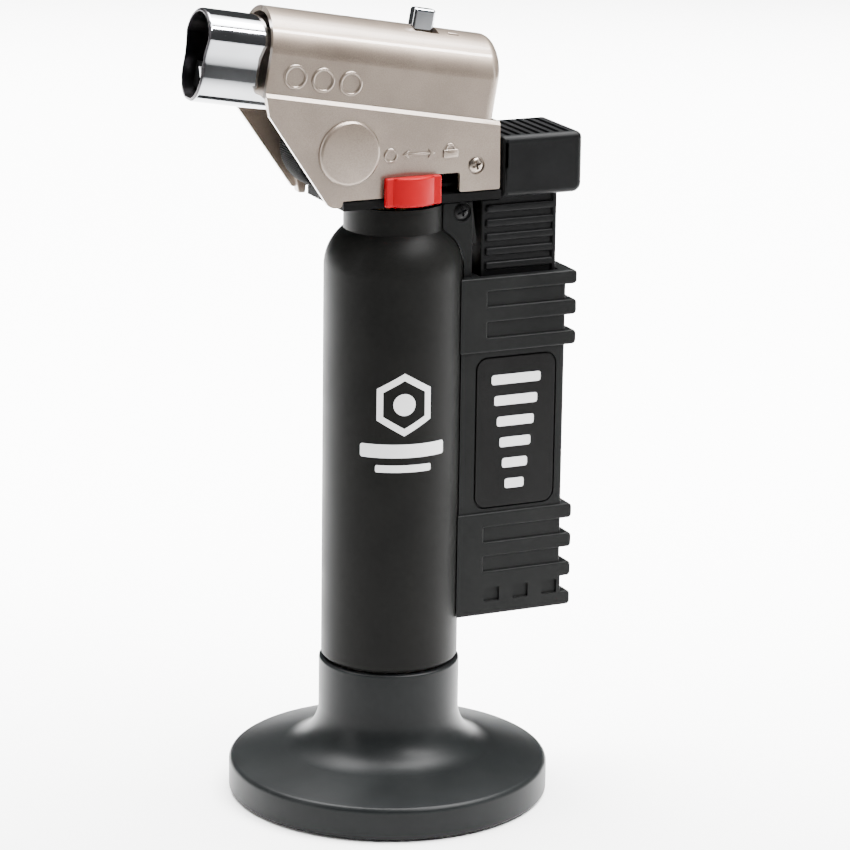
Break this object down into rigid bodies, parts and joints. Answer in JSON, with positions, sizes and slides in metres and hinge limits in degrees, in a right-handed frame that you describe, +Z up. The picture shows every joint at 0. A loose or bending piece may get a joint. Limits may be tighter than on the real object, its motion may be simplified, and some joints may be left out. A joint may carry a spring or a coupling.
{
  "type": "butane torch",
  "caption": "Hand-held butane micro torch with a thumb trigger, flame lock, flow dial and air lever, standing in a round bench stand.",
  "frame": {"origin": "centre of the stand's underside, on the axis of the gas tank", "axes": "+Z up along the gas tank, -X the way the flame leaves, +X the grip and trigger side, -Y the side with the lock slider"},
  "size_m": [0.076, 0.0612, 0.1535],
  "materials": {
    "stand_plastic": "satin moulded black plastic",
    "tank_coat": "matte black powder coat with a fine grain",
    "cover_paint": "satin champagne metallic paint",
    "chrome": "mirror chrome plating",
    "grip_plastic": "fine-textured black plastic",
    "trigger_plastic": "smooth semi-matte black plastic",
    "label_gloss": "gloss black label with light grey bars",
    "lock_red": "red moulded plastic, light gloss",
    "steel": "plain bright steel",
    "black_steel": "blackened steel",
    "burner_steel": "heat-dulled stainless steel",
    "brass": "turned brass",
    "nylon": "natural white nylon",
    "wick": "pressed fibre",
    "ceramic": "white ceramic",
    "rubber": "matte black rubber"
  },
  "bodies": {
    "stand": {"stand_shell": "stand_plastic", "stand_ballast_disc": "steel", "stand_foot_pad": "rubber"},
    "torch": {"tank_shell": "tank_coat", "tank_bottom_cap": "nylon", "cap_seal": "rubber", "fill_valve_body": "brass", "fill_spring": "steel", "feed_wick": "wick", "valve_holder": "brass", "holder_seal": "rubber", "valve_body": "brass", "valve_nut": "brass", "valve_spring": "steel", "lever_pin": "steel", "head_chassis": "trigger_plastic", "cover_near": "cover_paint", "cover_far": "cover_paint", "cover_screw": "steel", "burner_guard": "chrome", "burner_tube": "burner_steel", "flame_holder": "brass", "gas_jet": "brass", "gas_tube": "brass", "electrode_insulator": "ceramic", "electrode": "steel", "ignition_lead": "rubber", "piezo_body": "nylon", "trigger_spring": "steel", "grip_near": "grip_plastic", "grip_far": "grip_plastic", "label_near": "label_gloss", "label_far": "label_gloss", "grip_screw": "black_steel"},
    "fill_stem": {"fill_stem": "brass"},
    "valve_stem": {"valve_stem": "steel"},
    "valve_lever": {"valve_lever": "steel"},
    "trigger": {"trigger": "trigger_plastic", "piezo_plunger": "nylon"},
    "lock_slider": {"lock_slider": "lock_red"},
    "flow_dial": {"flow_dial": "trigger_plastic"},
    "air_lever": {"air_lever": "chrome"}
  },
  "joints": [
    {"name": "torch_lift", "type": "slide", "parent": "stand", "child": "torch", "axis": [0, 0, 1], "range_m": [0, 0.02]},
    {"name": "trigger_press", "type": "slide", "parent": "torch", "child": "trigger", "axis": [0, 0, -1], "range_m": [0, 0.007], "stiffness_N_per_m": 1200, "springref_m": -0.003, "deforming": ["trigger_spring"]},
    {"name": "valve_lever_tilt", "type": "hinge", "parent": "torch", "child": "valve_lever", "pos_m": [0.0106, 0, 0.1199], "axis": [0, 1, 0], "range_deg": [0, 5.5]},
    {"name": "valve_stem_lift", "type": "slide", "parent": "torch", "child": "valve_stem", "axis": [0, 0, 1], "range_m": [0, 0.00102], "deforming": ["valve_spring", "gas_tube"]},
    {"name": "fill_stem_press", "type": "slide", "parent": "torch", "child": "fill_stem", "axis": [0, 0, 1], "range_m": [0, 0.0015], "stiffness_N_per_m": 1000, "springref_m": -0.001, "deforming": ["fill_spring"]},
    {"name": "lock_slide", "type": "slide", "parent": "torch", "child": "lock_slider", "axis": [1, 0, 0], "range_m": [0, 0.0033]},
    {"name": "flow_dial_turn", "type": "hinge", "parent": "torch", "child": "flow_dial", "pos_m": [-0.0133, 0, 0.1265], "axis": [0, 1, 0], "range_deg": [-120, 120]},
    {"name": "air_lever_turn", "type": "hinge", "parent": "torch", "child": "air_lever", "pos_m": [0, 0, 0.1412], "axis": [0.9848, 0, -0.1736], "range_deg": [-12, 12]}
  ],
  "couplings": [
    {"joint": "valve_lever_tilt", "follows": "trigger_press", "rad_per_m": 13.47},
    {"joint": "valve_stem_lift", "follows": "trigger_press", "ratio": 0.14286}
  ]
}
